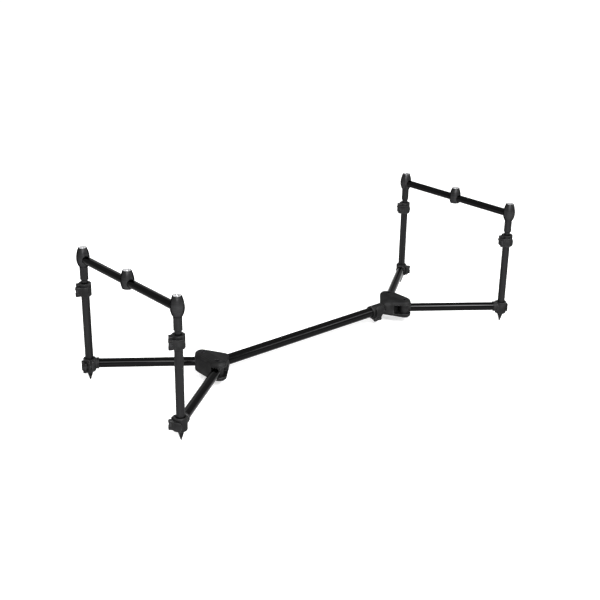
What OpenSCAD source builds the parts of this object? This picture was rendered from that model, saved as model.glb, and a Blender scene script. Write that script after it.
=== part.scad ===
// Folding rod pod: a telescopic main bar between two leg hubs, four folding legs,
// four telescopic uprights on spiked corner blocks, and two buzzer bars on top.
// X runs along the main bar, Y across it to the back, Z up from the spike tips.

/* [Frame] */
// Distance between the uprights of the two ends, along the main bar
end_span = 876; // [760:1:1000]
// Distance between the two uprights of one end
upright_span = 314; // [260:1:380]
// Height of the leg and main bar axes above the spike tips
axis_height = 36; // [35:0.5:50]
// Height of the upright collar tops above the spike tips
collar_top = 206; // [180:1:260]

/* [Tubes] */
// Diameter of the main bar
main_d = 22; // [21:0.5:23]
// Diameter of a leg tube
leg_d = 18.5; // [16:0.5:19]
// Diameter of an upright tube, which is the stem's too
upright_d = 16; // [14:0.5:17]
// Diameter of a buzzer bar tube
buzzer_d = 16; // [12:0.5:18]
// Wall of every tube
tube_wall = 1.5; // [1:0.1:2]
// Radial clearance between two tubes that slide
slide_gap = 0.08; // [0.05:0.01:0.1]
// Length of the inner bar
inner_bar_length = 440; // [380:1:450]
// Length of an upright's inner tube
inner_tube_length = 174; // [120:1:180]

/* [Hubs] */
// Distance between the leg pivots of the two hubs, along the main bar
pivot_span = 520; // [490:1:560]
// Distance between the two leg pivots of one hub
pivot_gap = 52; // [50:1:58]
// Height of a hub over both plates
hub_height = 40; // [36:0.5:44]
// Radius of a hub's rounded corners
hub_r = 14.5; // [14:0.5:16]
// Distance of a hub's wing and nose corners from the pivot
hub_spread = 4; // [2:0.5:8]
// Distance from the pivots to the centre of the bar socket's round end
hub_reach = 30.5; // [29:0.5:36]
// Rounding of a hub's upper and lower edges
hub_round = 7; // [3:0.5:7.5]
// Height of a hub's bar socket
socket_height = 30; // [28:0.5:36]
// Depth of the bar socket in a hub
bar_seat = 28; // [20:0.5:30]
// Angle that a leg folds through, back along the main bar
leg_fold = 131; // [90:1:132]
// Radius of a leg knuckle
knuckle_r = 11.5; // [10:0.25:12]
// Height of a leg knuckle
knuckle_height = 20; // [19.5:0.5:22]
// Distance from the pivot to the leg tube's end
knuckle_neck = 14; // [12.5:0.5:18]
// Length of the knuckle's plug in the leg tube
knuckle_plug = 24; // [15:1:40]
// Diameter of a pivot bolt
pivot_d = 8; // [6:0.5:9]
// Diameter of a pivot bolt's head
pivot_head_d = 11; // [10:0.5:13]
// Height of a pivot bolt's head, and of its nut
pivot_head_height = 3; // [2:0.25:3.5]
// Depth of a pivot bolt's head below the plate
pivot_head_sink = 0.6; // [0:0.1:1]

/* [Corner blocks] */
// Radius of the corner blocks and the upright collars
clamp_r = 12.4; // [11.5:0.1:13]
// Height of a corner block above the leg axis
block_rise = 11.5; // [11.4:0.1:16]
// Depth of a corner block below the leg axis
block_drop = 16; // [15.5:0.5:20]
// Thickness of a corner block's floor
block_floor = 6; // [5:0.5:7]
// Rounding of a corner block's lower edge
block_round = 3; // [2:0.5:4]
// Wall of the leg socket
socket_wall = 2; // [1.5:0.1:2.1]
// Reach of the leg socket from the upright axis
socket_reach = 18; // [16:0.5:26]
// Length of the ring at the mouth of the leg socket
socket_ring = 4; // [2:0.5:6]
// Distance from the upright tube to the leg tube's end
leg_stop = 3; // [2:0.5:5]
// Radius of a spike at its base
spike_r = 6.5; // [5:0.25:7]
// Radius of the blunt spike tip
spike_tip_r = 0.7; // [0.5:0.1:1.5]
// Diameter of the spike's shank in the block's floor
shank_d = 8; // [6:0.5:9]
// Length of the spike's shank
shank_length = 5; // [3:0.5:5]
// Direction of the front left corner block's ears; the other corners mirror it
block_ears = 110; // [105:1:130]

/* [Clamps] */
// Height of an upright collar
collar_height = 26; // [23:0.5:30]
// Length of a collar's upper part, which grips the inner tube
grip_length = 6; // [4:0.5:10]
// Direction of the upright collars' ears
collar_ears = 150; // [130:1:200]
// Wall of the bar clamp round the main bar
bar_clamp_wall = 2.6; // [2:0.1:3]
// Length of the bar clamp
bar_clamp_length = 34; // [28:0.5:36]
// Gap between the bar clamp and the right hub
bar_clamp_gap = 2; // [1:0.5:6]
// Direction of the bar clamp's ears below the bar
bar_clamp_ears = 10; // [0:1:30]
// Width of a clamp's slit
slit = 2; // [1.5:0.1:2.5]
// Distance from a clamp's bolt to the tip of its ears
ear_margin = 3; // [2.8:0.1:4]
// Half of the width over both ears
ear_half = 6.6; // [6:0.1:8]
// Height of the ears
ear_height = 20; // [19:0.5:22]
// Diameter of a clamp bolt
bolt_d = 3.5; // [3:0.5:5]
// Diameter of a lever's cross pin
cross_pin_d = 4; // [3:0.5:4.5]
// Radial clearance of a lever or a knuckle on its pin
pin_gap = 0.05; // [0.02:0.01:0.1]
// Radius of a lever's cam
cam_r = 4.4; // [4.2:0.1:5]
// Height of a lever
lever_height = 18; // [16:0.5:19]
// Distance of a lever below the middle of its clamp
lever_drop = 1.5; // [0:0.25:2]
// Thickness of a lever's flap
lever_t = 3.2; // [2.5:0.1:4]
// Radial clearance of a nut on its bolt, and of a cross pin in its eye
thread_gap = 0.03; // [0.02:0.01:0.1]
// Clearance between parts that pass each other
side_gap = 0.4; // [0.3:0.05:0.6]
// Angle that a lever's flap goes round its clamp
lever_arc = 70; // [55:1:90]

/* [Stems and heads] */
// Gap between a collar and the stem above it
stem_gap = 6; // [2:0.5:12]
// Length of a stem
stem_length = 26.5; // [18:0.5:40]
// Slope at a stem's lower end
stem_slope = 1.5; // [0.5:0.1:2]
// Thickness of a stem's closed top
stem_cap = 4.5; // [3:0.5:8]
// Gap between a head and the stem of the next upright
seat_gap = 0.3; // [0.25:0.05:0.5]
// Widest radius of a head
head_r = 13; // [12:0.25:15]
// Radius of a head's top and bottom
head_end_r = 8.2; // [8:0.1:9]
// Height of a head above the buzzer bar's axis
head_rise = 22.5; // [21:0.5:28]
// Depth of a head below the buzzer bar's axis
head_drop = 16; // [15:0.5:22]
// Depth of the middle head below the buzzer bar's axis
middle_drop = 12; // [10:0.5:15]
// Distance from a head's axis to the end of the buzzer bar
bar_stop = 6; // [5.5:0.5:8]
// Outer diameter of a thread insert
insert_d = 14; // [12:0.5:14]
// Length of a thread insert
insert_length = 12; // [8:0.5:12.5]
// Bore of a thread insert, at the thread's crests
thread_d = 8.3; // [6:0.1:9]
// Diameter of the stud between a stem and its head
stud_d = 9; // [6:0.5:9.5]
// Length of the stud in the head
stud_length = 7; // [4:0.5:7]

/* [Hidden] */
$fn = 64;
CORNERS = ["back_left", "front_left", "back_right", "front_right"];
ENDS = ["left", "right"];
CORNER_PIECES = [
    "leg", "knuckle", "corner_block", "spike", "corner_lever", "upright",
    "collar", "collar_lever", "clamp_bolts", "inner_tube", "stem"
];
END_PIECES = ["hub", "pivot_bolts", "buzzer_bar", "bar_heads", "thread_inserts"];
BAR_PIECES = ["main_bar", "inner_bar", "bar_clamp", "bar_clamp_lever", "bar_clamp_bolt"];

// Colours of the finishes
gloss_black = [0.07, 0.07, 0.08];
satin_grey = [0.18, 0.18, 0.19];
cast_grey = [0.2, 0.2, 0.21];
dark_steel = [0.3, 0.3, 0.32];
bright_steel = [0.85, 0.86, 0.88];

// Sides of the corners: -1 is left or front, 1 is right or back
side_x = [-1, -1, 1, 1];
side_y = [1, -1, 1, -1];
// The corners whose stems carry a buzzer bar
carries = [true, false, false, true];

// Places in plan
function corner_at(i) = [side_x[i] * end_span / 2, side_y[i] * upright_span / 2];
function pivot_at(i) = [side_x[i] * pivot_span / 2, side_y[i] * pivot_gap / 2];
function heading(from, to) = atan2(to[1] - from[1], to[0] - from[0]);
leg_length = norm(corner_at(2) - pivot_at(2));
leg_angle = heading(pivot_at(2), corner_at(2));

// Tube bores and the tubes that slide in them
upright_bore = upright_d - 2 * tube_wall;
inner_tube_d = upright_bore - 2 * slide_gap;
main_bore = main_d - 2 * tube_wall;
inner_bar_d = main_bore - 2 * slide_gap;
leg_bore = leg_d - 2 * tube_wall;
leg_end = leg_length - upright_d / 2 - leg_stop;

// Ends of the main bar
socket_face = pivot_span / 2 - hub_reach - hub_r;
bar_clamp_end = socket_face - bar_clamp_gap;
bar_clamp_start = bar_clamp_end - bar_clamp_length;
main_bar_end = bar_clamp_end - grip_length;
main_bar_start = -socket_face - bar_seat;
inner_bar_end = socket_face + bar_seat;

// Heights
block_top = axis_height + block_rise;
block_bottom = axis_height - block_drop;
upright_foot = block_bottom + block_floor;
upright_top = collar_top - grip_length;
block_clamp_z = block_top - ear_height / 2 - 3.5;
collar_clamp_z = collar_top - collar_height / 2;
stem_foot = collar_top + stem_gap;
head_foot = stem_foot + stem_length;
buzzer_z = head_foot + head_drop;
head_top = buzzer_z + head_rise;
inner_tube_top = head_foot - stem_cap;
slot_height = knuckle_height + 2 * side_gap;

// Parts of a clamp
bar_clamp_r = main_d / 2 + bar_clamp_wall;
eye_r = cross_pin_d / 2 + 1.6;
eye_height = bolt_d + 2.4;
nut_r = bolt_d * 0.95;
nut_height = bolt_d * 0.8;

// Outer tangent of two circles [x, y, r], on the right of the way from a to b
function tangent(a, b) =
    let (run = [b[0] - a[0], b[1] - a[1]])
    let (turn = atan2(run[1], run[0]) - acos((a[2] - b[2]) / norm(run)))
    let (out = [cos(turn), sin(turn)])
    [[a[0], a[1]] + a[2] * out, [b[0], b[1]] + b[2] * out];

// Plate with the outline of a band round the circles, which are listed anticlockwise
module banded(circles, height) {
    last = len(circles) - 1;
    linear_extrude(height)
        polygon([for (i = [0:last]) each tangent(circles[i], circles[i == last ? 0 : i + 1])]);
    for (c = circles)
        translate([c[0], c[1], 0])
            cylinder(r = c[2], h = height);
}

// Tube along Z from the origin
module tube(outer_d, bore_d, length) {
    difference() {
        cylinder(d = outer_d, h = length);
        translate([0, 0, -1])
            cylinder(d = bore_d, h = length + 2);
    }
}

// Turns a shape that lies along Z to lie along X
module along_x() {
    rotate([0, 90, 0])
        children();
}

// A leg's own frame: the pivot at the origin and the leg along X
module leg_frame(i) {
    translate([pivot_at(i)[0], pivot_at(i)[1], axis_height])
        rotate(heading(pivot_at(i), corner_at(i)))
            children();
}

// The upright's axis at a corner, at the height z
module at_corner(i, z = 0) {
    translate([corner_at(i)[0], corner_at(i)[1], z])
        children();
}

// Frames of the clamps: the clamped tube along Z, the ears along X, at half the ears' height
module block_clamp_frame(i) {
    at_corner(i, block_clamp_z)
        mirror([side_x[i] > 0 ? 1 : 0, 0, 0])
            mirror([0, side_y[i] > 0 ? 1 : 0, 0])
                rotate(block_ears)
                    children();
}

module collar_clamp_frame(i) {
    at_corner(i, collar_clamp_z)
        rotate(collar_ears)
            children();
}

module bar_clamp_frame() {
    translate([(bar_clamp_start + bar_clamp_end) / 2, 0, axis_height])
        mirror([0, 1, 0])
            rotate([-bar_clamp_ears, 0, 0])
                along_x()
                    children();
}

// Places in a clamp with a round body of radius r
function bolt_x(r) = sqrt(pow(r, 2) - pow(ear_half, 2)) + nut_r + 0.2;
function pin_at(r) = [bolt_x(r), ear_half + cam_r + side_gap];

// The two ears of a clamp, before the slit
module ears(r) {
    round_r = ear_half / 3;
    tip = bolt_x(r) + ear_margin - round_r;
    side = ear_half - round_r;
    translate([0, 0, -ear_height / 2])
        banded([[0, -side, round_r], [tip, -side, round_r], [tip, side, round_r], [0, side, round_r]],
            ear_height);
}

// What the slit and the clamp bolt take out of a clamp, from the height foot up to head;
// the bolt reaches to the depth beyond the slit
module clamp_cut(r, foot, head, depth) {
    translate([0, -slit / 2, foot])
        cube([bolt_x(r) + ear_margin + 1, slit, head - foot]);
    translate([bolt_x(r), ear_half + 1, 0])
        rotate([90, 0, 0])
            cylinder(d = bolt_d, h = ear_half + 1 + depth);
}

// Eye bolt and cross pin of a clamp, with a nut where the bolt goes right through
module clamp_bolt(r, depth) {
    pin = pin_at(r);
    through = depth > ear_half;
    difference() {
        union() {
            translate([pin[0], pin[1], 0])
                rotate([90, 0, 0])
                    cylinder(d = bolt_d, h = pin[1] + depth + (through ? nut_height : 0));
            translate([pin[0], pin[1], -eye_height / 2])
                cylinder(r = eye_r, h = eye_height);
        }
        translate([pin[0], pin[1], -eye_height])
            cylinder(d = cross_pin_d + 2 * thread_gap, h = 2 * eye_height);
    }
    translate([pin[0], pin[1], -lever_height / 2 - lever_drop])
        cylinder(d = cross_pin_d, h = lever_height);
    if (through)
        translate([pin[0], -ear_half, 0])
            rotate([90, 0, 0])
                difference() {
                    cylinder(r = nut_r, h = nut_height, $fn = 6);
                    translate([0, 0, -1])
                        cylinder(d = bolt_d + 2 * thread_gap, h = nut_height + 2);
                }
}

// Cam lever, closed round a clamp's body
module lever(r, arc) {
    pin = pin_at(r);
    inner = r + side_gap;
    start = atan2(pin[1], pin[0]) + 24;
    root = [cos(start + 6), sin(start + 6)];
    toward = (inner + lever_t / 2) * root - pin;
    side = 0.9 * cam_r * [-toward[1], toward[0]] / norm(toward);
    neck_step = 0.4;
    end_r = 0.6 * lever_height;
    end_depth = end_r - sqrt(pow(end_r, 2) - pow(lever_height / 2, 2)) + 0.5;
    translate([0, 0, -lever_height / 2 - lever_drop])
        difference() {
            union() {
                translate([pin[0], pin[1], 0])
                    cylinder(r = cam_r, h = lever_height);
                translate([0, 0, neck_step])
                    linear_extrude(lever_height - 2 * neck_step)
                        polygon([pin - side, (inner + lever_t - 0.4) * root, (inner + 0.4) * root, pin + side]);
                rotate(start)
                    rotate_extrude(angle = arc + 3)
                        translate([inner, 0])
                            square([lever_t, lever_height]);
            }
            rotate(start + arc)
                difference() {
                    translate([inner - 2, -end_depth, -1])
                        cube([lever_t + 4, 2 * end_depth, lever_height + 2]);
                    translate([0, -end_r, lever_height / 2])
                        along_x()
                            cylinder(r = end_r, h = inner + 3 * lever_t);
                }
            translate([pin[0], pin[1], -1])
                cylinder(d = cross_pin_d + 2 * pin_gap, h = lever_height + 2);
            translate([pin[0], pin[1], (lever_height - eye_height) / 2 - side_gap + lever_drop])
                cylinder(r = cam_r + side_gap, h = eye_height + 2 * side_gap);
        }
}

// Split collar on the end of a tube, gripping the tube that slides out of it
module split_collar(r, length, outer_d, inner_bore_d) {
    half = length / 2;
    edge = 1;
    difference() {
        union() {
            rotate_extrude()
                polygon([[0, -half], [r - edge, -half], [r, edge - half], [r, half - edge],
                    [r - edge, half], [0, half]]);
            ears(r);
        }
        translate([0, 0, -half - 1])
            cylinder(d = outer_d, h = length - grip_length + 1);
        translate([0, 0, -half])
            cylinder(d = inner_bore_d, h = length + 1);
        translate([0, 0, half - 1.5])
            cylinder(d1 = inner_bore_d, d2 = inner_bore_d + 5, h = 2.5);
        clamp_cut(r, -half + 4, half + 1, ear_half + 1);
    }
}

// Main bar

module main_bar() {
    color(gloss_black)
        translate([main_bar_start, 0, axis_height])
            along_x()
                tube(main_d, main_bore, main_bar_end - main_bar_start);
}

module inner_bar() {
    color(gloss_black)
        translate([inner_bar_end - inner_bar_length, 0, axis_height])
            along_x()
                tube(inner_bar_d, inner_bar_d - 2 * tube_wall, inner_bar_length);
}

module bar_clamp() {
    color(cast_grey)
        bar_clamp_frame()
            split_collar(bar_clamp_r, bar_clamp_length, main_d, main_bore);
}

module bar_clamp_lever() {
    color(cast_grey)
        bar_clamp_frame()
            lever(bar_clamp_r, lever_arc + 20);
}

module bar_clamp_bolt() {
    color(dark_steel)
        bar_clamp_frame()
            clamp_bolt(bar_clamp_r, ear_half + 1);
}

// Hubs, drawn at the right end and mirrored for the left

module at_end(end) {
    mirror([end == 0 ? 1 : 0, 0, 0])
        children();
}

// Corners of a hub's outline: the bar socket's end, then the wings and the nose
function hub_corners() =
    let (pivot = [pivot_span / 2, pivot_gap / 2])
    let (step = hub_spread * [-sin(leg_angle), cos(leg_angle)])
    let (wing = pivot + step)
    let (nose = pivot - step)
    [[pivot[0] - hub_reach, 0], [wing[0], -wing[1]], [nose[0], -nose[1]], nose, wing];

// Body of a hub about its middle plane, with rounded edges, lower at the bar socket
module hub_body() {
    corners = hub_corners();
    hull() {
        for (k = [0:len(corners) - 1], t = [0:30:90]) {
            high = (k == 0 ? socket_height : hub_height) - 2 * hub_round * (1 - sin(t));
            translate([corners[k][0], corners[k][1], -high / 2])
                cylinder(r = hub_r - hub_round * (1 - cos(t)), h = high, $fn = 48);
        }
    }
}

// Point at a distance along a heading and a distance aside, to the left
function beside(turn, along, aside) = along * [cos(turn), sin(turn)] + aside * [-sin(turn), cos(turn)];

// Room that a leg and its knuckle turn in, at the back of the right hub
module fold_room() {
    reach = hub_reach + 2 * hub_r;
    half = leg_d / 2 + 2 * side_gap;
    last = leg_angle + leg_fold;
    translate([pivot_span / 2, pivot_gap / 2, axis_height - slot_height / 2]) {
        cylinder(r = knuckle_r + side_gap, h = slot_height);
        linear_extrude(slot_height)
            polygon([beside(leg_angle, 0, -half), beside(leg_angle, reach, -half),
                for (k = [1:3]) beside(leg_angle + leg_fold * k / 4, 1.2 * reach, 0),
                beside(last, reach, half), beside(last, 0, half)]);
    }
}

module hub(end) {
    bar_d = end == 0 ? main_d : inner_bar_d;
    recess = pivot_head_height + pivot_head_sink;
    top = axis_height + hub_height / 2;
    bottom = axis_height - hub_height / 2;
    color(cast_grey)
        at_end(end)
            difference() {
                translate([0, 0, axis_height])
                    hub_body();
                translate([socket_face - 1, 0, axis_height])
                    along_x()
                        cylinder(d = bar_d, h = bar_seat + 1);
                for (side = [0, 1])
                    mirror([0, side, 0]) {
                        fold_room();
                        translate([pivot_span / 2, pivot_gap / 2, bottom - 1])
                            cylinder(d = pivot_d, h = hub_height + 2);
                        for (z = [bottom - 1, top - recess])
                            translate([pivot_span / 2, pivot_gap / 2, z])
                                cylinder(d = pivot_head_d + 1, h = recess + 1);
                    }
            }
}

module pivot_bolts(end) {
    shank = hub_height - 2 * pivot_head_sink;
    color(dark_steel)
        at_end(end)
            for (side = [-1, 1])
                translate([pivot_span / 2, side * pivot_gap / 2, axis_height]) {
                    translate([0, 0, -shank / 2])
                        cylinder(d = pivot_d, h = shank - 0.5);
                    translate([0, 0, shank / 2 - pivot_head_height])
                        cylinder(d = pivot_head_d, h = pivot_head_height);
                    translate([0, 0, -shank / 2])
                        difference() {
                            cylinder(d = pivot_head_d, h = pivot_head_height, $fn = 6);
                            translate([0, 0, -1])
                                cylinder(d = pivot_d + 2 * thread_gap, h = pivot_head_height + 2);
                        }
                }
}

// Legs and corner blocks

module leg(i) {
    color(gloss_black)
        leg_frame(i)
            translate([knuckle_neck, 0, 0])
                along_x()
                    tube(leg_d, leg_bore, leg_end - knuckle_neck);
}

module knuckle(i) {
    color(cast_grey)
        leg_frame(i)
            difference() {
                union() {
                    translate([0, 0, -knuckle_height / 2])
                        cylinder(r = knuckle_r, h = knuckle_height);
                    along_x()
                        cylinder(d = leg_d, h = knuckle_neck);
                    along_x()
                        cylinder(d = leg_bore, h = knuckle_neck + knuckle_plug);
                }
                translate([0, 0, -knuckle_height])
                    cylinder(d = pivot_d + 2 * pin_gap, h = 2 * knuckle_height);
            }
}

module corner_block(i) {
    socket_r = leg_d / 2 + socket_wall;
    leg_back = heading(corner_at(i), pivot_at(i));
    color(cast_grey)
        difference() {
            union() {
                at_corner(i)
                    rotate_extrude()
                        polygon([[0, block_bottom], [clamp_r - block_round, block_bottom],
                            for (t = [30, 60]) [clamp_r - block_round * (1 - sin(t)),
                                block_bottom + block_round * (1 - cos(t))],
                            [clamp_r, block_bottom + block_round], [clamp_r, block_top - 1],
                            [clamp_r - 1, block_top], [0, block_top]]);
                at_corner(i, axis_height)
                    rotate(leg_back)
                        along_x() {
                            cylinder(r = socket_r - 0.6, h = socket_reach);
                            translate([0, 0, socket_reach - socket_ring])
                                cylinder(r = socket_r, h = socket_ring);
                        }
                block_clamp_frame(i)
                    ears(clamp_r);
            }
            at_corner(i, upright_foot)
                cylinder(d = upright_d, h = block_top);
            at_corner(i, block_top - 2)
                cylinder(d1 = upright_d, d2 = upright_d + 3.6, h = 2.01);
            at_corner(i, axis_height)
                rotate(leg_back)
                    translate([leg_length - leg_end, 0, 0])
                        along_x()
                            cylinder(d = leg_d, h = socket_reach);
            at_corner(i, block_bottom - 1)
                cylinder(d = shank_d, h = shank_length + 1);
            block_clamp_frame(i)
                clamp_cut(clamp_r, upright_foot + 0.5 - block_clamp_z, block_top, ear_half - 2);
        }
}

module spike(i) {
    color(dark_steel)
        at_corner(i)
            rotate_extrude()
                polygon([[0, 0], [spike_tip_r, 0], [spike_r, block_bottom - 1], [spike_r, block_bottom],
                    [shank_d / 2, block_bottom], [shank_d / 2, block_bottom + shank_length],
                    [0, block_bottom + shank_length]]);
}

module corner_lever(i) {
    color(cast_grey)
        block_clamp_frame(i)
            lever(clamp_r, lever_arc);
}

// Uprights

module upright(i) {
    color(satin_grey)
        at_corner(i, upright_foot)
            tube(upright_d, upright_bore, upright_top - upright_foot);
}

module collar(i) {
    color(cast_grey)
        collar_clamp_frame(i)
            split_collar(clamp_r, collar_height, upright_d, upright_bore);
}

module collar_lever(i) {
    color(cast_grey)
        collar_clamp_frame(i)
            lever(clamp_r, lever_arc);
}

module clamp_bolts(i) {
    color(dark_steel) {
        block_clamp_frame(i)
            clamp_bolt(clamp_r, ear_half - 2);
        collar_clamp_frame(i)
            clamp_bolt(clamp_r, ear_half + 1);
    }
}

module inner_tube(i) {
    color(satin_grey)
        at_corner(i, inner_tube_top - inner_tube_length)
            tube(inner_tube_d, inner_tube_d - 2 * tube_wall, inner_tube_length);
}

module stem(i) {
    top = carries[i] ? stem_length : stem_length - seat_gap;
    stem_r = upright_d / 2;
    color(satin_grey)
        at_corner(i, stem_foot)
            difference() {
                union() {
                    rotate_extrude()
                        polygon([[0, 0], [stem_r - stem_slope, 0], [stem_r, stem_slope],
                            [stem_r, top], [0, top]]);
                    if (carries[i])
                        cylinder(d = stud_d, h = stem_length + stud_length);
                }
                translate([0, 0, -1])
                    cylinder(d = inner_tube_d, h = stem_length - stem_cap + 1);
            }
}

// Buzzer bars

// Radius of the arc that swells from a head's end to its widest place, over the height reach
function swell_r(reach) = (pow(head_r - head_end_r, 2) + pow(reach, 2)) / (2 * (head_r - head_end_r));

// One head about the buzzer bar's axis, with its sockets towards the given sides
module bar_head(drop, sides) {
    upper_r = swell_r(head_rise);
    lower_r = swell_r(head_drop);
    difference() {
        rotate_extrude() {
            intersection() {
                translate([head_r - upper_r, 0])
                    circle(r = upper_r, $fn = 720);
                square([head_r, head_rise]);
            }
            intersection() {
                translate([head_r - lower_r, 0])
                    circle(r = lower_r, $fn = 720);
                translate([0, -drop])
                    square([head_r, drop + 0.001]);
            }
        }
        translate([0, 0, head_rise - insert_length])
            cylinder(d = insert_d, h = insert_length + 1);
        for (side = sides)
            rotate([side * 90, 0, 0])
                translate([0, 0, bar_stop])
                    cylinder(d = buzzer_d, h = head_r);
        if (len(sides) == 1)
            translate([0, 0, -head_drop - 1])
                cylinder(d = stud_d, h = stud_length + 1);
    }
}

// Places of an end's heads along Y
head_places = [-upright_span / 2, 0, upright_span / 2];

module at_head(end, k) {
    translate([(end == 0 ? -1 : 1) * end_span / 2, head_places[k], buzzer_z])
        children();
}

module buzzer_bar(end) {
    half = upright_span / 2 - bar_stop;
    color(gloss_black)
        at_head(end, 1)
            rotate([90, 0, 0])
                for (start = [-half, bar_stop])
                    translate([0, 0, start])
                        tube(buzzer_d, buzzer_d - 2 * tube_wall, half - bar_stop);
}

module bar_heads(end) {
    color(cast_grey) {
        at_head(end, 0)
            bar_head(head_drop, [-1]);
        at_head(end, 1)
            bar_head(middle_drop, [-1, 1]);
        at_head(end, 2)
            bar_head(head_drop, [1]);
    }
}

module thread_inserts(end) {
    color(bright_steel)
        for (k = [0:2])
            at_head(end, k)
                translate([0, 0, head_rise - insert_length])
                    tube(insert_d, thread_d, insert_length);
}

main_bar();
inner_bar();
bar_clamp();
bar_clamp_lever();
bar_clamp_bolt();
for (end = [0, 1]) {
    hub(end);
    pivot_bolts(end);
    buzzer_bar(end);
    bar_heads(end);
    thread_inserts(end);
}
for (i = [0:3]) {
    leg(i);
    knuckle(i);
    corner_block(i);
    spike(i);
    corner_lever(i);
    upright(i);
    collar(i);
    collar_lever(i);
    clamp_bolts(i);
    inner_tube(i);
    stem(i);
}
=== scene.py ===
"""Rod pod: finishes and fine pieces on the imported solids, in a plain white studio."""

import logging
import math
from dataclasses import dataclass
from enum import Enum
from functools import cache
from typing import Iterable, Sequence

import bmesh
import bpy
from mathutils import Matrix, Vector


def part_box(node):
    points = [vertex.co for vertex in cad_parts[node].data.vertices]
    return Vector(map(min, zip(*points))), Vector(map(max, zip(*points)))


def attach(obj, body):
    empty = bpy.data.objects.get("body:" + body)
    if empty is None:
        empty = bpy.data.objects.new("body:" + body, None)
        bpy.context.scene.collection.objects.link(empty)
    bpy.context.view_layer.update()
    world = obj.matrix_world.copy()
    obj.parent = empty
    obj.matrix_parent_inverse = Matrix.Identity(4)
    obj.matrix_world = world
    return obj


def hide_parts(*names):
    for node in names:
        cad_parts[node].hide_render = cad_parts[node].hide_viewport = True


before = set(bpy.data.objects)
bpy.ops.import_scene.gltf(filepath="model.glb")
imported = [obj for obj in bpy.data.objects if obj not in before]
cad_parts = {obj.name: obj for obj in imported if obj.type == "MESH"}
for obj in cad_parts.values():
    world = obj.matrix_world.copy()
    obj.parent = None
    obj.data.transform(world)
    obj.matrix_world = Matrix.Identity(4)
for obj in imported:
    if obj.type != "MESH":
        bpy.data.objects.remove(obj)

LOG = logging.getLogger("rod_pod")
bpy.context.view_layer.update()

# Metres in a millimetre
MM = 0.001
# Points of a mesh that are nearer than this are one point
WELD = 0.002 * MM
# Angle between a leg and the main bar, in degrees
LEG_ANGLE = 36.36
# Edges round a bolt, and round a nut or a key socket
ROUND_SIDES = 48
HEX_SIDES = 6
UP = Vector((0.0, 0.0, 1.0))
# Numbers of a mix node's colour sockets, whose names it gives more than once
MIX_FIRST = 6
MIX_SECOND = 7
MIX_RESULT = 2

Colour = tuple[float, float, float]
Point = tuple[float, float, float]
Span = tuple[float, float]
Socket = bpy.types.NodeSocket
Ring = list[bmesh.types.BMEdge]


class End(Enum):
    """The two ends of the main bar, by the names of their nodes."""

    LEFT = "left"
    RIGHT = "right"


class Corner(Enum):
    """The four corners of the pod, by the names of their nodes."""

    BACK_LEFT = "back_left"
    FRONT_LEFT = "front_left"
    BACK_RIGHT = "back_right"
    FRONT_RIGHT = "front_right"


class Run(Enum):
    """Ways that a tube can lie, with the turn in degrees that brings the drawn lines along it."""

    ALONG = (0.0, 0.0, 0.0)
    ACROSS = (0.0, 0.0, 90.0)
    UPRIGHT = (0.0, -90.0, 0.0)
    TO_BACK_RIGHT = (0.0, 0.0, LEG_ANGLE)
    TO_FRONT_RIGHT = (0.0, 0.0, -LEG_ANGLE)


def grey(level: float) -> tuple[float, float, float, float]:
    """Opaque grey of one level, as a colour socket takes it."""
    return (level, level, level, 1.0)


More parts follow.
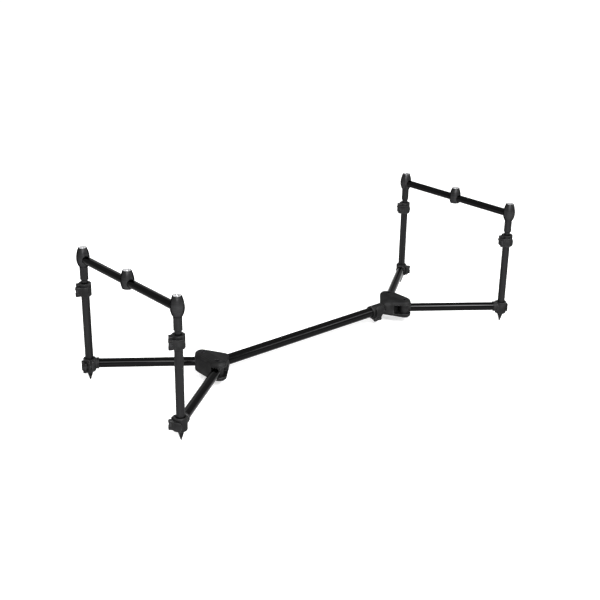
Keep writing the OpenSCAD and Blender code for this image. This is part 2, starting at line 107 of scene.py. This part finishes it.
class NodeGraph:
    """Short ways to fill the node tree of a material or a world."""

    def __init__(self, owner: bpy.types.Material | bpy.types.World,
                 output: str = "ShaderNodeOutputMaterial") -> None:
        """Starts an empty node tree.

        Args:
            owner: what the tree belongs to.
            output: Blender's name of the output node's type.
        """
        self.owner = owner
        owner.use_nodes = True
        self.tree = owner.node_tree
        self.tree.nodes.clear()
        self.output = self.add(output)

    def add(self, kind: str, sockets: dict[str | int, object] | None = None,
            **settings: object) -> bpy.types.Node:
        """Adds a node.

        Args:
            kind: Blender's name of the node type.
            sockets: what its input sockets are fed with, by the sockets' names or numbers.
            settings: values of the node's own properties.

        Returns:
            The new node.
        """
        node = self.tree.nodes.new(kind)
        for key, value in settings.items():
            setattr(node, key, value)
        for key, value in (sockets or {}).items():
            self.feed(node.inputs[key], value)
        return node

    def feed(self, target: Socket, value: object) -> None:
        """Joins an input socket to another node's output, or sets its value.

        Args:
            target: the input socket.
            value: the output socket to join it to, or a plain value.
        """
        if isinstance(value, Socket):
            self.tree.links.new(value, target)
        else:
            target.default_value = value

    def place(self) -> Socket:
        """Adds the object's own coordinates, in metres."""
        return self.add("ShaderNodeTexCoord").outputs["Object"]

    def stretched(self, vector: Socket, scale: Point, turn: Point = (0.0, 0.0, 0.0)) -> Socket:
        """Turns and stretches texture coordinates.

        Args:
            vector: the coordinates.
            scale: how long one unit of the pattern becomes along each axis.
            turn: turn about each axis, in degrees.

        Returns:
            The new coordinates' socket.
        """
        angles = [math.radians(angle) for angle in turn]
        sockets = {"Vector": vector, "Rotation": angles, "Scale": scale}
        return self.add("ShaderNodeMapping", sockets, vector_type="TEXTURE").outputs["Vector"]

    def noise(self, vector: Socket, scale: float = 1.0, detail: float = 3.0) -> Socket:
        """Adds a noise texture.

        Args:
            vector: texture coordinates.
            scale: grains in one unit of the coordinates.
            detail: octaves of finer noise.

        Returns:
            The noise value's socket.
        """
        sockets = {"Vector": vector, "Scale": scale, "Detail": detail}
        return self.add("ShaderNodeTexNoise", sockets).outputs["Fac"]

    def spread(self, source: Socket, over: Span = (0.0, 1.0), result: Span = (0.0, 1.0)) -> Socket:
        """Maps a value from one range onto another.

        Args:
            source: the value to map.
            over: start and end of its range.
            result: what the start and the end become.

        Returns:
            The mapped value's socket.
        """
        ends = {"From Min": over[0], "From Max": over[1], "To Min": result[0], "To Max": result[1]}
        return self.add("ShaderNodeMapRange", {"Value": source, **ends}).outputs["Result"]

    def combine(self, operation: str, *values: Socket | float) -> Socket:
        """Works out one value from others.

        Args:
            operation: Blender's name of the sum.
            values: the values, in the sum's order.

        Returns:
            The result's socket.
        """
        return self.add("ShaderNodeMath", dict(enumerate(values)), operation=operation).outputs[0]

    def between(self, share: Socket, first: Colour | Socket, second: Colour) -> Socket:
        """Mixes two colours.

        Args:
            share: share of the second colour.
            first: colour at share 0, or the socket that it comes from.
            second: colour at share 1.

        Returns:
            The mixed colour's socket.
        """
        start = first if isinstance(first, Socket) else (*first, 1.0)
        sockets = {"Factor": share, MIX_FIRST: start, MIX_SECOND: (*second, 1.0)}
        return self.add("ShaderNodeMix", sockets, data_type="RGBA").outputs[MIX_RESULT]

    def rounded(self, radius: float, samples: int) -> Socket:
        """Adds a normal that shades sharp edges as round ones.

        Args:
            radius: the edges' radius, in metres.
            samples: rays that look for an edge.

        Returns:
            The normal's socket.
        """
        return self.add("ShaderNodeBevel", {"Radius": radius}, samples=samples).outputs["Normal"]

    def relief(self, height: Socket, strength: float, depth: float,
               normal: Socket | None = None) -> Socket:
        """Adds bumps.

        Args:
            height: the bumps' height, from 0 to 1.
            strength: share of the bumps in the normal.
            depth: height of the tallest bump, in metres.
            normal: normal that the bumps stand on, if it isn't the face's own.

        Returns:
            The bumpy normal's socket.
        """
        node = self.add("ShaderNodeBump", {"Height": height, "Strength": strength, "Distance": depth})
        if normal is not None:
            self.feed(node.inputs["Normal"], normal)
        return node.outputs["Normal"]

    def seen(self) -> Socket:
        """Adds a test for rays that show the background.

        Returns:
            A socket that is 1 for camera, glossy and transmission rays.
        """
        path = self.add("ShaderNodeLightPath").outputs
        shown = self.combine("MAXIMUM", path["Is Camera Ray"], path["Is Glossy Ray"])
        return self.combine("MAXIMUM", shown, path["Is Transmission Ray"])

    def surface(self, sockets: dict[str | int, object]) -> bpy.types.Material:
        """Ends a material with its surface.

        Args:
            sockets: what the surface shader's sockets are fed with, by their names.

        Returns:
            The finished material.
        """
        shader = self.add("ShaderNodeBsdfPrincipled", sockets)
        self.feed(self.output.inputs["Surface"], shader.outputs["BSDF"])
        return self.owner


@dataclass(frozen=True)
class TubeFinish:
    """Anodised tube: fine lines drawn along it, and a slow change of shine.

    The lines run along the tube, so each way of lying has its own material.

    Attributes:
        name: start of the materials' names.
        colour: colour between the lines.
        line_colour: colour of the lines.
        roughness: lowest and highest roughness.
        edge_tint: tint of the reflection at a grazing view.
        line_length: length of a line, in metres.
        line_width: width of a line.
        line_height: height of a line.
        line_span: noise at which a line's colour starts and is full.
        line_share: part that the lines have in the change of shine.
        line_relief: strength of the lines' relief.
        cloud_scale: clouds of shine in a metre.
        shine_span: noise at which the roughness starts and stops to rise.
    """

    name: str
    colour: Colour
    line_colour: Colour
    roughness: Span
    edge_tint: float = 0.5
    line_length: float = 0.09
    line_width: float = 0.0011
    line_height: float = 0.000012
    line_span: Span = (0.45, 0.8)
    line_share: float = 0.35
    line_relief: float = 0.5
    cloud_scale: float = 28.0
    shine_span: Span = (0.4, 0.95)

    @cache
    def material(self, run: Run) -> bpy.types.Material:
        """Makes the material for one way of lying.

        Args:
            run: how the tube lies.

        Returns:
            The material, made once for each way.
        """
        graph = NodeGraph(bpy.data.materials.new(f"{self.name}_{run.name.lower()}"))
        place = graph.place()
        line_size = (self.line_length, self.line_width, self.line_width)
        lines = graph.noise(graph.stretched(place, line_size, run.value))
        cloud = graph.noise(place, self.cloud_scale)
        shine = graph.combine("MULTIPLY_ADD", lines, self.line_share, cloud)
        drawn = graph.spread(lines, self.line_span)
        return graph.surface({
            "Base Color": graph.between(drawn, self.colour, self.line_colour),
            "Metallic": 1.0,
            "Roughness": graph.spread(shine, self.shine_span, self.roughness),
            "Specular Tint": grey(self.edge_tint),
            "Normal": graph.relief(lines, self.line_relief, self.line_height),
        })


@dataclass(frozen=True)
class CastFinish:
    """Black casting: fine stipple, lighter rounded edges that are partly rubbed wear and partly a
    painted highlight, and dusty patches.

    Attributes:
        name: the material's name.
        colour: colour between the patches.
        patch_colour: colour of the patches.
        wear_and_highlight_colour: colour of the rounded edges, partly rubbed wear and partly a painted
            highlight.
        roughness: lowest and highest roughness.
        metal_share: how far the surface reflects as metal does.
        edge_tint: tint of the reflection at a grazing view.
        reflection: level of the reflection that isn't metal's.
        grain: grains of the stipple in a metre.
        grain_height: height of a grain, in metres.
        grain_relief: strength of the stipple's relief.
        patch_scale: patches in a metre.
        patch_detail: octaves of finer patches.
        patch_span: noise at which a patch's colour starts and is full.
        shine_span: noise at which the roughness starts and stops to rise.
        edge_radius: radius of the edges, in metres.
        edge_samples: rays that look for an edge.
        rim_span: how far a normal agrees with its face where an edge's wear and painted highlight are
            full and where they are none.
        wear_and_highlight_strength: least and most strength of an edge's wear and painted highlight.
        wear_and_highlight_noise_span: noise at which an edge's wear and painted highlight start and
            stop to rise.
    """

    name: str
    colour: Colour
    patch_colour: Colour
    wear_and_highlight_colour: Colour
    roughness: Span
    metal_share: float
    edge_tint: float
    reflection: float
    grain: float = 1500.0
    grain_height: float = 0.00016
    grain_relief: float = 0.6
    patch_scale: float = 60.0
    patch_detail: float = 4.0
    patch_span: Span = (0.42, 0.7)
    shine_span: Span = (0.35, 0.65)
    edge_radius: float = 0.0009
    edge_samples: int = 6
    rim_span: Span = (0.86, 0.995)
    wear_and_highlight_strength: Span = (0.25, 1.0)
    wear_and_highlight_noise_span: Span = (0.4, 0.6)

    @cache
    def material(self) -> bpy.types.Material:
        """Makes the material.

        Returns:
            The material, made once.
        """
        graph = NodeGraph(bpy.data.materials.new(self.name))
        place = graph.place()
        grain = graph.noise(place, self.grain)
        patches = graph.noise(place, self.patch_scale, self.patch_detail)
        edge = graph.rounded(self.edge_radius, self.edge_samples)
        face = graph.add("ShaderNodeNewGeometry").outputs["Normal"]
        facing = graph.add("ShaderNodeVectorMath", {0: edge, 1: face}, operation="DOT_PRODUCT")
        rim = graph.spread(facing.outputs["Value"], self.rim_span, (1.0, 0.0))
        # Lighter rounded edges: partly rubbed wear, partly a painted highlight where the rounded
        # normal turns away from the face.
        worn_and_highlit_edges = graph.combine("MULTIPLY", rim, graph.spread(patches, self.wear_and_highlight_noise_span, self.wear_and_highlight_strength))
        dusty = graph.between(graph.spread(patches, self.patch_span), self.colour, self.patch_colour)
        return graph.surface({
            "Base Color": graph.between(worn_and_highlit_edges, dusty, self.wear_and_highlight_colour),
            "Metallic": self.metal_share,
            "Roughness": graph.spread(patches, self.shine_span, self.roughness),
            "Specular IOR Level": self.reflection,
            "Specular Tint": grey(self.edge_tint),
            "Normal": graph.relief(grain, self.grain_relief, self.grain_height, edge),
        })


@dataclass(frozen=True)
class TurnedFinish:
    """Turned metal: fine tool marks in rings up the piece, and cloudy shine.

    Attributes:
        name: the material's name.
        colour: colour between the marks.
        mark_colour: colour of the marks.
        roughness: lowest and highest roughness.
        mark_pitch: height of one mark and its gap, in metres.
        mark_height: depth of a mark.
        edge_tint: tint of the reflection at a grazing view.
        mark_length: length over which a mark changes.
        mark_detail: octaves of finer marks.
        mark_span: noise at which a mark's colour starts and is full.
        mark_relief: strength of the marks' relief.
        cloud_scale: clouds of shine in a metre.
        shine_span: noise at which the roughness starts and stops to rise.
        edge_radius: radius of the edges, in metres.
        edge_samples: rays that look for an edge.
    """

    name: str
    colour: Colour
    mark_colour: Colour
    roughness: Span
    mark_pitch: float = 0.0005
    mark_height: float = 0.000015
    edge_tint: float = 1.0
    mark_length: float = 0.02
    mark_detail: float = 2.0
    mark_span: Span = (0.4, 0.65)
    mark_relief: float = 0.5
    cloud_scale: float = 240.0
    shine_span: Span = (0.35, 0.65)
    edge_radius: float = 0.0003
    edge_samples: int = 4

    @cache
    def material(self) -> bpy.types.Material:
        """Makes the material.

        Returns:
            The material, made once.
        """
        graph = NodeGraph(bpy.data.materials.new(self.name))
        place = graph.place()
        mark_size = (self.mark_length, self.mark_length, self.mark_pitch)
        marks = graph.noise(graph.stretched(place, mark_size), detail=self.mark_detail)
        cloud = graph.noise(place, self.cloud_scale)
        edge = graph.rounded(self.edge_radius, self.edge_samples)
        turned = graph.spread(marks, self.mark_span)
        return graph.surface({
            "Base Color": graph.between(turned, self.colour, self.mark_colour),
            "Metallic": 1.0,
            "Roughness": graph.spread(cloud, self.shine_span, self.roughness),
            "Specular Tint": grey(self.edge_tint),
            "Normal": graph.relief(marks, self.mark_relief, self.mark_height, edge),
        })


GLOSS_TUBE = TubeFinish(
    name="gloss_tube",
    colour=(0.0065, 0.0065, 0.0066),
    line_colour=(0.012, 0.012, 0.0122),
    roughness=(0.06, 0.14),
    edge_tint=0.6,
)
SATIN_TUBE = TubeFinish(
    name="satin_tube",
    colour=(0.016, 0.016, 0.0165),
    line_colour=(0.026, 0.026, 0.027),
    roughness=(0.36, 0.50),
    line_height=0.00002,
)
CAST_BLACK = CastFinish(
    name="black_casting",
    colour=(0.014, 0.014, 0.0142),
    patch_colour=(0.026, 0.026, 0.0263),
    # Colour of the rounded edges: partly rubbed wear, partly a painted highlight.
    wear_and_highlight_colour=(0.13, 0.13, 0.132),
    roughness=(0.46, 0.62),
    metal_share=0.75,
    edge_tint=0.45,
    reflection=0.05,
)
TURNED_BLACK = TurnedFinish(
    name="turned_black",
    colour=(0.021, 0.021, 0.0215),
    mark_colour=(0.030, 0.030, 0.031),
    roughness=(0.28, 0.40),
    mark_pitch=0.0007,
    mark_height=0.000006,
    edge_tint=0.2,
)
BLACK_STEEL = TurnedFinish(
    name="black_steel",
    colour=(0.02, 0.02, 0.021),
    mark_colour=(0.04, 0.04, 0.042),
    roughness=(0.34, 0.48),
    edge_tint=0.4,
)
SPIKE_STEEL = TurnedFinish(
    name="blackened_spike",
    colour=(0.010, 0.010, 0.0105),
    mark_colour=(0.022, 0.022, 0.023),
    roughness=(0.38, 0.52),
    mark_pitch=0.0009,
    edge_tint=0.4,
)
BRIGHT_STEEL = TurnedFinish(
    name="bright_insert",
    colour=(0.56, 0.56, 0.57),
    mark_colour=(0.42, 0.42, 0.43),
    roughness=(0.20, 0.34),
    mark_pitch=0.0003,
)


def dress(node: str, material: bpy.types.Material) -> None:
    """Gives a CAD node its finish.

    Args:
        node: the node's name.
        material: the finish.
    """
    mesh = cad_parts[node].data
    mesh.materials.clear()
    mesh.materials.append(material)
    LOG.info("dressed %s in %s", node, material.name)


def add_object(name: str, data: bpy.types.ID) -> bpy.types.Object:
    """Makes an object and links it to the scene.

    Args:
        name: the object's name.
        data: its mesh, camera or lamp.

    Returns:
        The new object.
    """
    made = bpy.data.objects.new(name, data)
    bpy.context.scene.collection.objects.link(made)
    return made


def add_mesh(bm: bmesh.types.BMesh, name: str, material: bpy.types.Material) -> bpy.types.Object:
    """Turns a finished mesh into an object.

    Args:
        bm: the mesh, in its place; it is used up.
        name: the object's name.
        material: its finish.

    Returns:
        The new object.
    """
    mesh = bpy.data.meshes.new(name)
    bm.to_mesh(mesh)
    bm.free()
    mesh.materials.append(material)
    return add_object(name, mesh)


def make_piece(bm: bmesh.types.BMesh, name: str, material: bpy.types.Material, body: str,
               replaced: Iterable[str] = (), smooth_angle: float = 32.0) -> bpy.types.Object:
    """Turns a finished mesh into a piece that rides on a body.

    Args:
        bm: the mesh, in its place; it is used up.
        name: the piece's name.
        material: its finish.
        body: the CAD body it moves with.
        replaced: the CAD nodes it stands for.
        smooth_angle: edges flatter than this many degrees are shaded smooth.

    Returns:
        The new object.
    """
    bmesh.ops.remove_doubles(bm, verts=bm.verts, dist=WELD)
    bmesh.ops.recalc_face_normals(bm, faces=bm.faces)
    for face in bm.faces:
        face.smooth = True
    sharpest = math.radians(smooth_angle)
    for edge in bm.edges:
        edge.smooth = len(edge.link_faces) == 2 and edge.calc_face_angle(0.0) < sharpest
    piece = add_mesh(bm, name, material)
    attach(piece, body)
    if replaced:
        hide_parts(*replaced)
    LOG.info("made %s on %s", name, body)
    return piece


def spun(bm: bmesh.types.BMesh, profile: Sequence[Span], at: Vector, steps: int = 64) -> None:
    """Adds a closed ring by turning a closed profile a full turn about an upright axis.

    Args:
        bm: the mesh to add to.
        profile: points (radius, height) of the profile, in metres.
        at: the axis' place, and the height that the profile's heights start from.
        steps: steps of the turn.
    """
    verts = [bm.verts.new(at + Vector((radius, 0.0, height))) for radius, height in profile]
    edges = [bm.edges.new((verts[k - 1], verts[k])) for k in range(len(verts))]
    bmesh.ops.spin(bm, geom=[*verts, *edges], cent=at, axis=UP, angle=math.tau, steps=steps,
                   use_merge=True)


def ring(bm: bmesh.types.BMesh, at: Vector, radius: float, height: float,
         sides: int = ROUND_SIDES) -> Ring:
    """Adds a level ring of edges round an upright axis.

    Args:
        bm: the mesh to add to.
        at: the axis' place.
        radius: the ring's radius, to its corners.
        height: the ring's height.
        sides: its number of edges.

    Returns:
        The ring's edges.
    """
    place = Matrix.Translation((at.x, at.y, height))
    made = bmesh.ops.create_circle(bm, cap_ends=False, segments=sides, radius=radius, matrix=place)
    return list({edge for vert in made["verts"] for edge in vert.link_edges})


def join_rings(bm: bmesh.types.BMesh, rings: Sequence[Ring]) -> None:
    """Joins each ring to the next with faces.

    Args:
        bm: the rings' mesh.
        rings: the edges of each ring, in order.
    """
    for first, second in zip(rings, rings[1:]):
        bmesh.ops.bridge_loops(bm, edges=[*first, *second])


@dataclass
class MainBar:
    """Telescopic main bar with its cam clamp.

    Attributes:
        tube: finish of the two tubes.
        casting: finish of the clamp and its lever.
        steel: finish of the clamp's bolt.
    """

    tube: TubeFinish = GLOSS_TUBE
    casting: CastFinish = CAST_BLACK
    steel: TurnedFinish = BLACK_STEEL

    def dress(self) -> None:
        """Gives the bar's nodes their finishes."""
        for node in ("main_bar", "inner_bar"):
            dress(node, self.tube.material(Run.ALONG))
        for node in ("bar_clamp", "bar_clamp_lever"):
            dress(node, self.casting.material())
        dress("bar_clamp_bolt", self.steel.material())


@dataclass
class Hub:
    """Leg hub of one end, with its two pivot bolts.

    Attributes:
        end: the end of the main bar.
        body: the CAD body that the bolts ride on.
        casting: finish of the hub.
        steel: finish of the bolts and nuts.
        shank_radius: radius of a bolt's shank.
        head_radius: radius of a bolt's head, and of a nut to its corners.
        head_height: height of a head and of a nut.
        edge: width of a bevelled edge.
        edge_segments: steps of a nut's bevel.
        key_radius: radius of the key socket, to its corners.
        key_depth: depth of the key socket.
        nut_gap: gap between a nut and the shank.
    """

    end: End
    body: str
    casting: CastFinish = CAST_BLACK
    steel: TurnedFinish = BLACK_STEEL
    shank_radius: float = 4.0 * MM
    head_radius: float = 5.5 * MM
    head_height: float = 3.0 * MM
    edge: float = 0.5 * MM
    edge_segments: int = 2
    key_radius: float = 2.9 * MM
    key_depth: float = 2.0 * MM
    nut_gap: float = 0.05 * MM

    def dress(self) -> None:
        """Gives the hub its finish."""
        dress(f"{self.end.value}_hub", self.casting.material())

    def build_bolts(self) -> bpy.types.Object:
        """Makes the pivot bolts with key sockets, and their nuts, in place of the plain ones.

        Returns:
            The piece with both bolts.
        """
        node = f"{self.end.value}_pivot_bolts"
        low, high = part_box(node)
        bm = bmesh.new()
        for place in (low.y + self.head_radius, high.y - self.head_radius):
            at = Vector(((low.x + high.x) / 2, place, 0.0))
            self.add_bolt(bm, at, low.z, high.z)
            self.add_nut(bm, at, low.z)
        name = f"{self.end.value}_hub_bolts"
        return make_piece(bm, name, self.steel.material(), self.body, [node])

    def add_bolt(self, bm: bmesh.types.BMesh, at: Vector, foot: float, top: float) -> None:
        """Adds a bolt with a round head and a six-sided socket.

        Args:
            bm: the mesh to add to.
            at: the bolt's axis.
            foot: height of the shank's end.
            top: height of the head's top.
        """
        shoulder = top - self.head_height
        rings = [
            ring(bm, at, self.shank_radius - self.edge, foot),
            ring(bm, at, self.shank_radius, foot + self.edge),
            ring(bm, at, self.shank_radius, shoulder),
            ring(bm, at, self.head_radius, shoulder),
            ring(bm, at, self.head_radius, top - self.edge),
            ring(bm, at, self.head_radius - self.edge, top),
            ring(bm, at, self.key_radius, top, HEX_SIDES),
            ring(bm, at, self.key_radius, top - self.key_depth, HEX_SIDES),
        ]
        join_rings(bm, rings)
        for end in (rings[0], rings[-1]):
            bmesh.ops.contextual_create(bm, geom=end)

    def add_nut(self, bm: bmesh.types.BMesh, at: Vector, foot: float) -> None:
        """Adds a six-sided nut with bevelled rims.

        Args:
            bm: the mesh to add to.
            at: the bolt's axis.
            foot: height of the nut's lower face.
        """
        bore = self.shank_radius + self.nut_gap
        top = foot + self.head_height
        rings = [
            ring(bm, at, bore, foot),
            ring(bm, at, self.head_radius, foot, HEX_SIDES),
            ring(bm, at, self.head_radius, top, HEX_SIDES),
            ring(bm, at, bore, top),
        ]
        rims = [*rings[1], *rings[2]]
        join_rings(bm, [*rings, rings[0]])
        bmesh.ops.bevel(bm, geom=rims, offset=self.edge / 2, offset_type="OFFSET", affect="EDGES",
                        segments=self.edge_segments, profile=0.5, material=-1)


@dataclass
class CornerPost:
    """One corner: leg, corner block with spike, and the telescopic upright with its collar.

    Attributes:
        corner: the corner of the pod.
        leg_run: how the leg lies.
        tube: finish of the leg.
        upright: finish of the upright's tubes and stem.
        casting: finish of the knuckle, block, collar and levers.
        steel: finish of the clamp bolts.
        spike: finish of the spike.
    """

    corner: Corner
    leg_run: Run
    tube: TubeFinish = GLOSS_TUBE
    upright: TubeFinish = SATIN_TUBE
    casting: CastFinish = CAST_BLACK
    steel: TurnedFinish = BLACK_STEEL
    spike: TurnedFinish = SPIKE_STEEL

    def node(self, piece: str) -> str:
        """Name of one of the corner's nodes."""
        return f"{self.corner.value}_{piece}"

    def dress(self) -> None:
        """Gives the corner's nodes their finishes."""
        dress(self.node("leg"), self.tube.material(self.leg_run))
        for piece in ("knuckle", "corner_block", "corner_lever", "collar", "collar_lever"):
            dress(self.node(piece), self.casting.material())
        for piece in ("upright", "inner_tube", "stem"):
            dress(self.node(piece), self.upright.material(Run.UPRIGHT))
        dress(self.node("clamp_bolts"), self.steel.material())
        dress(self.node("spike"), self.spike.material())


@dataclass
class BuzzerBar:
    """Buzzer bar of one end, with its heads and threaded inserts.

    Attributes:
        end: the end of the main bar.
        body: the CAD body that the inserts ride on.
        tube: finish of the bar.
        head: finish of the heads.
        bright: finish of the inserts.
        places: where the heads stand, across the pod.
        insert_radius: outer radius of an insert.
        root_radius: radius of the bore between the thread's ridges.
        crest_radius: radius of the bore at the ridges' crests.
        mouth: width of the bore's bevelled mouth.
        edge: width of an insert's bevelled edge.
        pitch: rise of the thread in one turn.
        ridge_half: half the width of a ridge's foot, in pitches.
        crest_part: how many times as wide a ridge's foot is as its crest.
        sunk: how far a ridge reaches into the bore's wall.
        steps_per_turn: steps of the thread in one turn.
    """

    end: End
    body: str
    tube: TubeFinish = GLOSS_TUBE
    head: TurnedFinish = TURNED_BLACK
    bright: TurnedFinish = BRIGHT_STEEL
    places: tuple[float, ...] = (-157 * MM, 0.0, 157 * MM)
    insert_radius: float = 7.0 * MM
    root_radius: float = 4.76 * MM
    crest_radius: float = 4.15 * MM
    mouth: float = 0.7 * MM
    edge: float = 0.5 * MM
    pitch: float = 1.27 * MM
    ridge_half: float = 0.48
    crest_part: float = 8.0
    sunk: float = 0.05 * MM
    steps_per_turn: int = 28

    def dress(self) -> None:
        """Gives the bar's nodes their finishes."""
        dress(f"{self.end.value}_buzzer_bar", self.tube.material(Run.ACROSS))
        dress(f"{self.end.value}_bar_heads", self.head.material())

    def build_inserts(self) -> bpy.types.Object:
        """Makes the inserts with their threads, in place of the plain ones.

        Returns:
            The piece with all the end's inserts.
        """
        node = f"{self.end.value}_thread_inserts"
        low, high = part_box(node)
        height = high.z - low.z
        profile = [
            (self.root_radius, 0.0),
            (self.insert_radius, 0.0),
            (self.insert_radius, height - self.edge),
            (self.insert_radius - self.edge, height),
            (self.root_radius + self.mouth, height),
            (self.root_radius, height - self.mouth),
        ]
        bm = bmesh.new()
        for place in self.places:
            at = Vector(((low.x + high.x) / 2, place, low.z))
            spun(bm, profile, at)
            self.add_thread(bm, at, height - self.mouth)
        name = f"{self.end.value}_threaded_inserts"
        return make_piece(bm, name, self.bright.material(), self.body, [node])

    def add_thread(self, bm: bmesh.types.BMesh, at: Vector, height: float) -> None:
        """Adds the ridge of a thread that winds up a bore.

        Args:
            bm: the mesh to add to.
            at: the bore's axis, at its foot.
            height: height of the thread.
        """
        half = self.ridge_half * self.pitch
        crest = half / self.crest_part
        outer = self.root_radius + self.sunk
        section = [
            (outer, -half),
            (self.crest_radius, -crest),
            (self.crest_radius, crest),
            (outer, half),
        ]
        verts = [bm.verts.new(at + Vector((radius, 0.0, half + rise))) for radius, rise in section]
        face = bm.faces.new(verts)
        turns = (height - 2 * half) / self.pitch
        steps = round(turns * self.steps_per_turn)
        bmesh.ops.spin(bm, geom=[face, *face.edges, *verts], cent=at, axis=UP,
                       dvec=UP * (turns * self.pitch / steps), angle=turns * math.tau, steps=steps)


@dataclass(frozen=True)
class Lamp:
    """Soft lamp with a flat panel.

    Attributes:
        name: the lamp's name.
        where: the place it stands at.
        aim: the point it shines at.
        size: width and height of its panel.
        power: its power in watts.
    """

    name: str
    where: Point
    aim: Point
    size: Span
    power: float

    def add(self) -> None:
        """Adds the lamp to the scene."""
        data = bpy.data.lights.new(self.name, "AREA")
        data.shape = "RECTANGLE"
        data.size, data.size_y = self.size
        data.energy = self.power
        lamp = add_object(self.name, data)
        lamp.location = self.where
        lamp.rotation_mode = "QUATERNION"
        beam = Vector(self.aim) - Vector(self.where)
        lamp.rotation_quaternion = beam.to_track_quat("-Z", "Y")


@dataclass
class Studio:
    """White floor, soft lamps and the photograph's camera.

    Attributes:
        azimuth: the camera's turn round the object, in degrees.
        elevation: the camera's rise above the floor, in degrees.
        roll: the camera's lean, in degrees.
        distance: the camera's distance from its target.
        target: the point that the camera looks at.
        focal_pixels: the lens' focal length, in pixels of the picture.
        frame_pixels: width of the picture, in pixels.
        sensor: width of the camera's sensor, in millimetres.
        clip: nearest and furthest distance that the camera sees.
        floor_half: half the floor's width.
        floor_level: the floor's level of grey.
        white_lift: glow that brings the lit floor to white, for rays that show the background.
        sky_level: level of the room's light on the object.
        lamps: the soft lamps.
    """

    azimuth: float = -40.92
    elevation: float = 21.82
    roll: float = 0.932
    distance: float = 2.2173
    target: Point = (-0.0329, -0.0063, 0.1203)
    focal_pixels: float = 1072.3
    frame_pixels: float = 600.0
    sensor: float = 36.0
    clip: Span = (0.02, 200.0)
    floor_half: float = 60.0
    floor_level: float = 0.88
    white_lift: float = 0.40
    sky_level: float = 0.7
    lamps: tuple[Lamp, ...] = (
        Lamp("key_lamp", (-1.37, -2.21, 2.25), (0.0, 0.0, 0.1), (2.8, 0.65), 116.0),
        Lamp("side_lamp", (2.0, -1.55, 1.5), (0.1, 0.0, 0.1), (1.4, 0.3), 24.0),
        Lamp("front_lamp", (-1.6, -1.75, 1.15), (0.0, 0.0, 0.15), (0.5, 0.5), 12.0),
        Lamp("high_lamp", (-0.21, -1.93, 2.33), (0.35, -0.08, 0.04), (0.45, 0.7), 42.0),
        Lamp("back_lamp", (0.9, 2.6, 1.8), (0.0, 0.0, 0.15), (1.6, 0.5), 8.0),
    )

    def add_camera(self) -> None:
        """Adds the camera and makes it the scene's."""
        turn, rise, lean = (math.radians(a) for a in (self.azimuth, self.elevation, self.roll))
        reach = math.cos(rise)
        back = Vector((math.sin(turn) * reach, -math.cos(turn) * reach, math.sin(rise)))
        level = (-back).cross(UP).normalized()
        above = level.cross(-back)
        right = level * math.cos(lean) + above * math.sin(lean)
        upward = above * math.cos(lean) - level * math.sin(lean)
        data = bpy.data.cameras.new("camera")
        data.sensor_width = self.sensor
        data.lens = self.focal_pixels * self.sensor / self.frame_pixels
        data.clip_start, data.clip_end = self.clip
        camera = add_object("camera", data)
        camera.matrix_world = (Matrix.Translation(Vector(self.target) + back * self.distance)
                               @ Matrix((right, upward, back)).transposed().to_4x4())
        bpy.context.scene.camera = camera

    def add_floor(self) -> None:
        """Adds the white floor, which keeps the object's shadow."""
        graph = NodeGraph(bpy.data.materials.new("studio_floor"))
        matt = graph.add("ShaderNodeBsdfDiffuse", {"Color": grey(self.floor_level)})
        strength = graph.spread(graph.seen(), result=(0.0, self.white_lift))
        lift = graph.add("ShaderNodeEmission", {"Strength": strength})
        both = graph.add("ShaderNodeAddShader", {0: matt.outputs["BSDF"], 1: lift.outputs["Emission"]})
        graph.feed(graph.output.inputs["Surface"], both.outputs["Shader"])
        bm = bmesh.new()
        bmesh.ops.create_grid(bm, x_segments=1, y_segments=1, size=self.floor_half)
        floor = add_mesh(bm, "studio_floor", graph.owner)

    def add_world(self) -> None:
        """Adds the even light of the room, which looks white."""
        world = bpy.data.worlds.new("studio_world")
        bpy.context.scene.world = world
        graph = NodeGraph(world, "ShaderNodeOutputWorld")
        strength = graph.spread(graph.seen(), result=(self.sky_level, 1.0))
        light = graph.add("ShaderNodeBackground", {"Color": grey(1.0), "Strength": strength})
        graph.feed(graph.output.inputs["Surface"], light.outputs["Background"])

    def build(self) -> None:
        """Adds the camera, floor, world and lamps, and sets the view transform."""
        bpy.context.scene.view_settings.view_transform = "Standard"
        self.add_camera()
        self.add_floor()
        self.add_world()
        for lamp in self.lamps:
            lamp.add()


def main() -> None:
    """Builds the studio and dresses each sub-assembly in order."""
    logging.basicConfig(level=logging.INFO, format="%(name)s: %(message)s")
    Studio().build()
    MainBar().dress()
    for end, body in ((End.LEFT, "base"), (End.RIGHT, "right_end")):
        hub = Hub(end, body)
        hub.dress()
        hub.build_bolts()
    runs = {
        Corner.BACK_LEFT: Run.TO_FRONT_RIGHT,
        Corner.FRONT_LEFT: Run.TO_BACK_RIGHT,
        Corner.BACK_RIGHT: Run.TO_BACK_RIGHT,
        Corner.FRONT_RIGHT: Run.TO_FRONT_RIGHT,
    }
    for corner, run in runs.items():
        CornerPost(corner, run).dress()
    for end, body in ((End.LEFT, "back_left_post"), (End.RIGHT, "front_right_post")):
        bar = BuzzerBar(end, body)
        bar.dress()
        bar.build_inserts()


if __name__ == "__main__":
    main()
